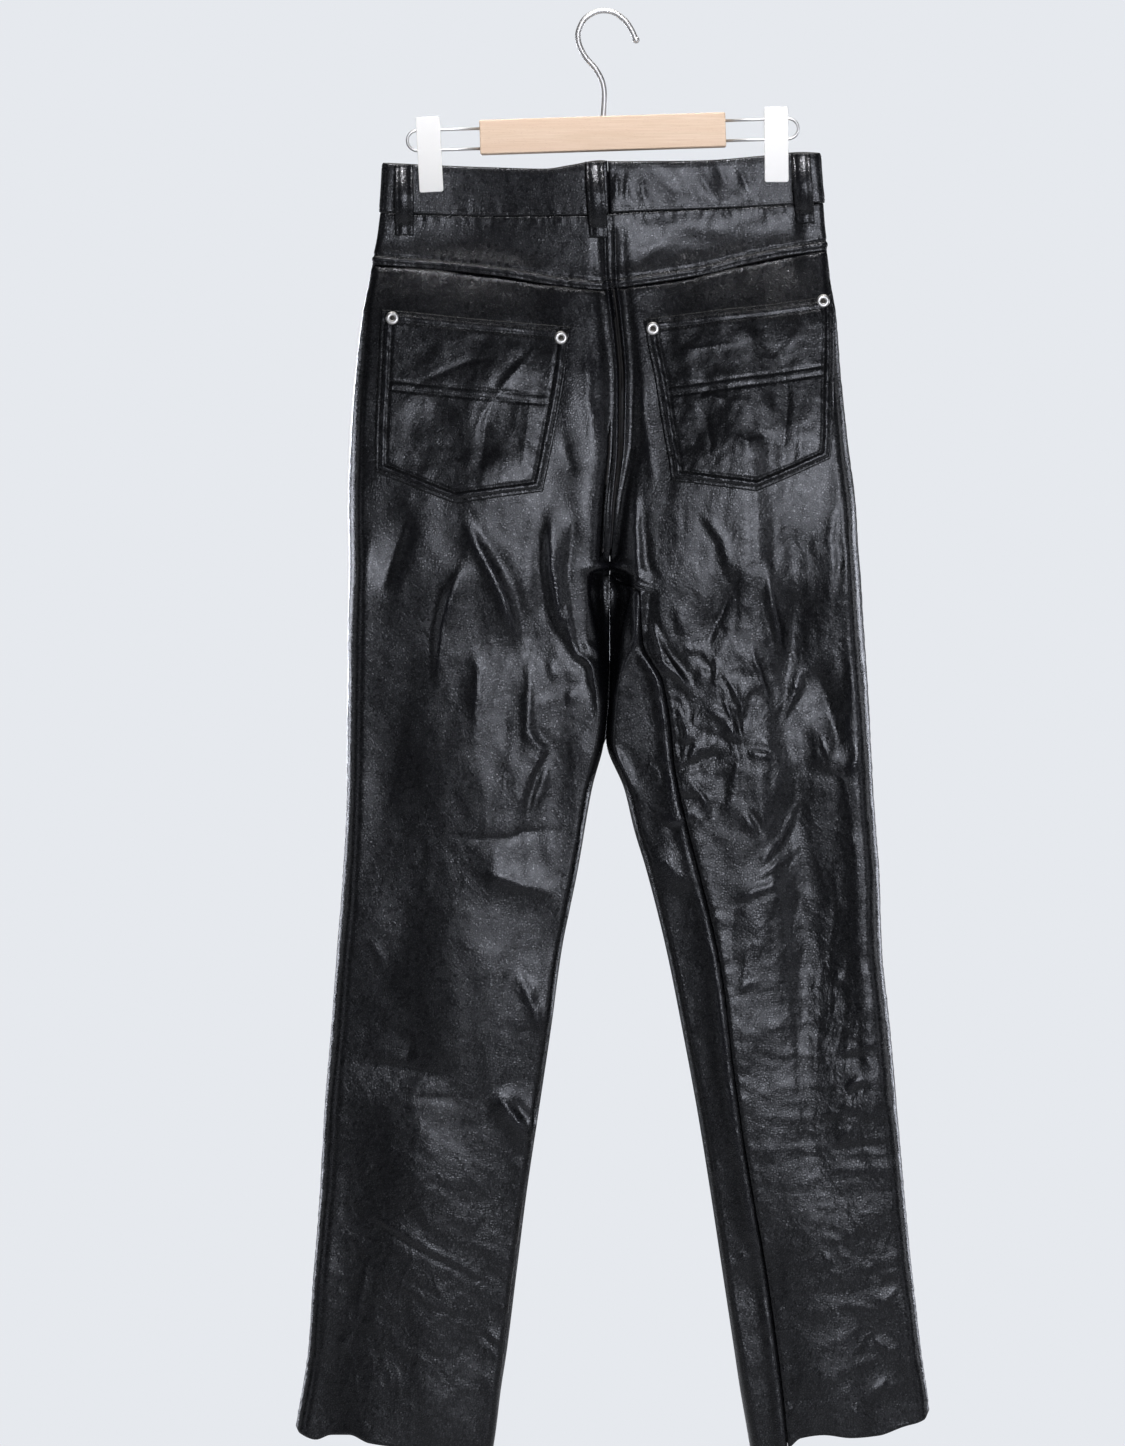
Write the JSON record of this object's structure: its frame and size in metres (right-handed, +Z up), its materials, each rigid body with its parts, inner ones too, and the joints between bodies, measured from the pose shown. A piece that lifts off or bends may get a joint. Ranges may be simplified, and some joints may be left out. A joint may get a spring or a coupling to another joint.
{
  "type": "leather trousers on a clip hanger",
  "caption": "Straight-leg leather trousers with patch pockets, yoke and belt loops, held by the waistband in the clips of a wooden bar hanger",
  "frame": {"origin": "the inner top of the hanger's hook, where a rail carries it", "axes": "+Z up; the garment's back faces -Y and its front +Y; +X towards the wearer's right; the wearer's left is at -X"},
  "size_m": [0.5149, 0.0608, 1.1755],
  "materials": {
    "black_leather": "fine pebbled black leather with a soft sheen",
    "silver_metal": "polished nickel-plated metal",
    "zip_tape": "woven black tape",
    "beech_wood": "smooth matt beech",
    "steel_wire": "bright drawn steel wire",
    "white_enamel": "smooth white paint"
  },
  "bodies": {
    "root": {"back_leg_left": "black_leather", "back_leg_right": "black_leather", "front_leg_left": "black_leather", "front_leg_right": "black_leather", "yoke_left": "black_leather", "yoke_right": "black_leather", "waistband_left": "black_leather", "waistband_right": "black_leather", "back_pocket_left": "black_leather", "back_pocket_right": "black_leather", "belt_loop_back_left": "black_leather", "belt_loop_back_centre": "black_leather", "belt_loop_back_right": "black_leather", "belt_loop_front_left": "black_leather", "belt_loop_front_right": "black_leather", "rivet_left_outer": "silver_metal", "rivet_left_inner": "silver_metal", "rivet_right_inner": "silver_metal", "rivet_right_outer": "silver_metal", "zip_slider": "silver_metal", "waist_button": "silver_metal", "zip_tape": "zip_tape", "hanger_bar": "beech_wood", "hanger_hook": "steel_wire", "hanger_wire_left": "steel_wire", "hanger_wire_right": "steel_wire", "clip_left_back": "white_enamel", "clip_left_front": "white_enamel", "clip_right_back": "white_enamel", "clip_right_front": "white_enamel", "clip_left_spring": "steel_wire", "clip_right_spring": "steel_wire"}
  },
  "joints": []
}
